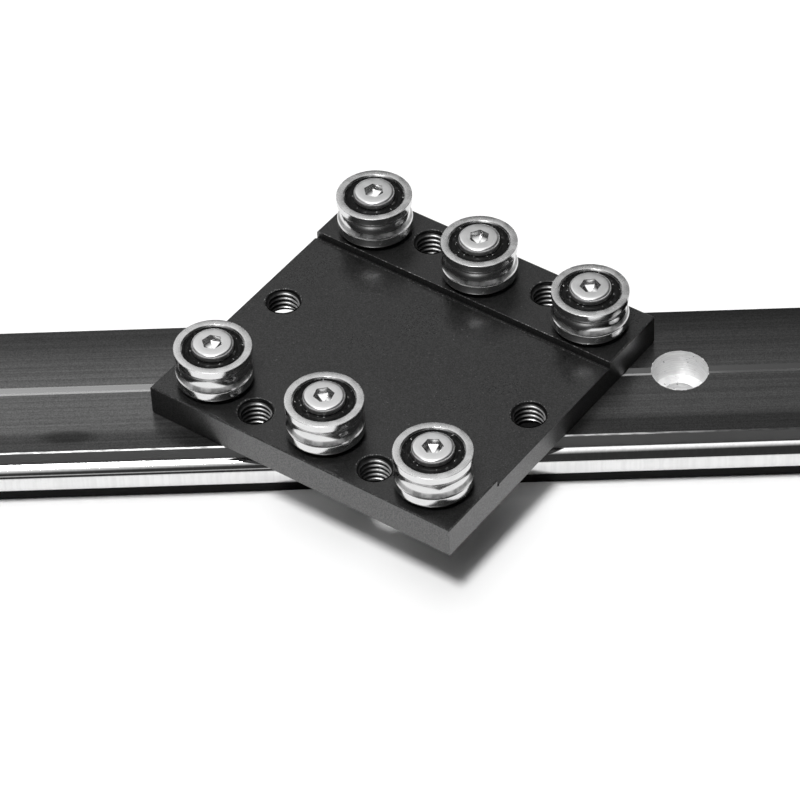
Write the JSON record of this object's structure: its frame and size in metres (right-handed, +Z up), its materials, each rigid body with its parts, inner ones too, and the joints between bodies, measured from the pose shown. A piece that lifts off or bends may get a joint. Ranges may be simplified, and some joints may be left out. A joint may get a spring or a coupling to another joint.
{
  "type": "roller linear guide rail",
  "caption": "Black rail with a steel shaft in each side and a square carriage on grooved track rollers, here lying upside down and askew on the rail.",
  "frame": {"origin": "middle of the rail's underside, where it is bolted down", "axes": "+X along the rail to the right of the picture, +Y away from the camera, +Z up out of the rail's top"},
  "size_m": [0.24, 0.0838, 0.025],
  "materials": {
    "black_anodised": "black anodised, matt, with a fine grain",
    "shaft_chrome": "hardened, ground and hard-chromed, mirror bright",
    "roller_steel": "bearing steel, ground side faces and a polished groove",
    "ball_steel": "polished bearing balls",
    "cage_plastic": "natural nylon",
    "seal_rubber": "black moulded rubber",
    "axle_steel": "turned steel, satin"
  },
  "bodies": {
    "rail": {"rail_extrusion": "black_anodised", "front_shaft": "shaft_chrome", "rear_shaft": "shaft_chrome"},
    "carriage": {"carriage_plate": "black_anodised", "front_left_inner_ring": "roller_steel", "front_left_axle_bolt": "axle_steel", "front_left_spacer": "axle_steel", "front_middle_inner_ring": "roller_steel", "front_middle_axle_bolt": "axle_steel", "front_middle_spacer": "axle_steel", "front_right_inner_ring": "roller_steel", "front_right_axle_bolt": "axle_steel", "front_right_spacer": "axle_steel", "rear_left_inner_ring": "roller_steel", "rear_left_axle_bolt": "axle_steel", "rear_left_spacer": "axle_steel", "rear_middle_inner_ring": "roller_steel", "rear_middle_axle_bolt": "axle_steel", "rear_middle_spacer": "axle_steel", "rear_right_inner_ring": "roller_steel", "rear_right_axle_bolt": "axle_steel", "rear_right_spacer": "axle_steel"},
    "front_left_roller": {"front_left_outer_ring": "roller_steel", "front_left_upper_seal": "seal_rubber", "front_left_lower_seal": "seal_rubber"},
    "front_left_ball_cage": {"front_left_balls": "ball_steel", "front_left_cage": "cage_plastic"},
    "front_middle_roller": {"front_middle_outer_ring": "roller_steel", "front_middle_upper_seal": "seal_rubber", "front_middle_lower_seal": "seal_rubber"},
    "front_middle_ball_cage": {"front_middle_balls": "ball_steel", "front_middle_cage": "cage_plastic"},
    "front_right_roller": {"front_right_outer_ring": "roller_steel", "front_right_upper_seal": "seal_rubber", "front_right_lower_seal": "seal_rubber"},
    "front_right_ball_cage": {"front_right_balls": "ball_steel", "front_right_cage": "cage_plastic"},
    "rear_left_roller": {"rear_left_outer_ring": "roller_steel", "rear_left_upper_seal": "seal_rubber", "rear_left_lower_seal": "seal_rubber"},
    "rear_left_ball_cage": {"rear_left_balls": "ball_steel", "rear_left_cage": "cage_plastic"},
    "rear_middle_roller": {"rear_middle_outer_ring": "roller_steel", "rear_middle_upper_seal": "seal_rubber", "rear_middle_lower_seal": "seal_rubber"},
    "rear_middle_ball_cage": {"rear_middle_balls": "ball_steel", "rear_middle_cage": "cage_plastic"},
    "rear_right_roller": {"rear_right_outer_ring": "roller_steel", "rear_right_upper_seal": "seal_rubber", "rear_right_lower_seal": "seal_rubber"},
    "rear_right_ball_cage": {"rear_right_balls": "ball_steel", "rear_right_cage": "cage_plastic"}
  },
  "joints": [
    {"name": "carriage_travel", "type": "slide", "parent": "rail", "child": "carriage", "axis": [1, 0, 0], "range_m": [-0.0742, 0.1058]},
    {"name": "front_left_roller_spin", "type": "hinge", "parent": "carriage", "child": "front_left_roller", "pos_m": [-0.04694, -0.00476, 0.021], "axis": [0, 0, 1], "continuous": true},
    {"name": "front_left_cage_spin", "type": "hinge", "parent": "carriage", "child": "front_left_ball_cage", "pos_m": [-0.04694, -0.00476, 0.021], "axis": [0, 0, 1], "continuous": true},
    {"name": "front_middle_roller_spin", "type": "hinge", "parent": "carriage", "child": "front_middle_roller", "pos_m": [-0.02868, -0.01808, 0.021], "axis": [0, 0, 1], "continuous": true},
    {"name": "front_middle_cage_spin", "type": "hinge", "parent": "carriage", "child": "front_middle_ball_cage", "pos_m": [-0.02868, -0.01808, 0.021], "axis": [0, 0, 1], "continuous": true},
    {"name": "front_right_roller_spin", "type": "hinge", "parent": "carriage", "child": "front_right_roller", "pos_m": [-0.01139, -0.03069, 0.021], "axis": [0, 0, 1], "continuous": true},
    {"name": "front_right_cage_spin", "type": "hinge", "parent": "carriage", "child": "front_right_ball_cage", "pos_m": [-0.01139, -0.03069, 0.021], "axis": [0, 0, 1], "continuous": true},
    {"name": "rear_left_roller_spin", "type": "hinge", "parent": "carriage", "child": "rear_left_roller", "pos_m": [-0.02021, 0.03189, 0.021], "axis": [0, 0, 1], "continuous": true},
    {"name": "rear_left_cage_spin", "type": "hinge", "parent": "carriage", "child": "rear_left_ball_cage", "pos_m": [-0.02021, 0.03189, 0.021], "axis": [0, 0, 1], "continuous": true},
    {"name": "rear_middle_roller_spin", "type": "hinge", "parent": "carriage", "child": "rear_middle_roller", "pos_m": [-0.00268, 0.0191, 0.021], "axis": [0, 0, 1], "continuous": true},
    {"name": "rear_middle_cage_spin", "type": "hinge", "parent": "carriage", "child": "rear_middle_ball_cage", "pos_m": [-0.00268, 0.0191, 0.021], "axis": [0, 0, 1], "continuous": true},
    {"name": "rear_right_roller_spin", "type": "hinge", "parent": "carriage", "child": "rear_right_roller", "pos_m": [0.01534, 0.00596, 0.021], "axis": [0, 0, 1], "continuous": true},
    {"name": "rear_right_cage_spin", "type": "hinge", "parent": "carriage", "child": "rear_right_ball_cage", "pos_m": [0.01534, 0.00596, 0.021], "axis": [0, 0, 1], "continuous": true}
  ],
  "couplings": [
    {"joint": "front_left_cage_spin", "follows": "front_left_roller_spin", "ratio": 0.6159},
    {"joint": "front_middle_cage_spin", "follows": "front_middle_roller_spin", "ratio": 0.6159},
    {"joint": "front_right_cage_spin", "follows": "front_right_roller_spin", "ratio": 0.6159},
    {"joint": "rear_left_cage_spin", "follows": "rear_left_roller_spin", "ratio": 0.6159},
    {"joint": "rear_middle_cage_spin", "follows": "rear_middle_roller_spin", "ratio": 0.6159},
    {"joint": "rear_right_cage_spin", "follows": "rear_right_roller_spin", "ratio": 0.6159}
  ]
}
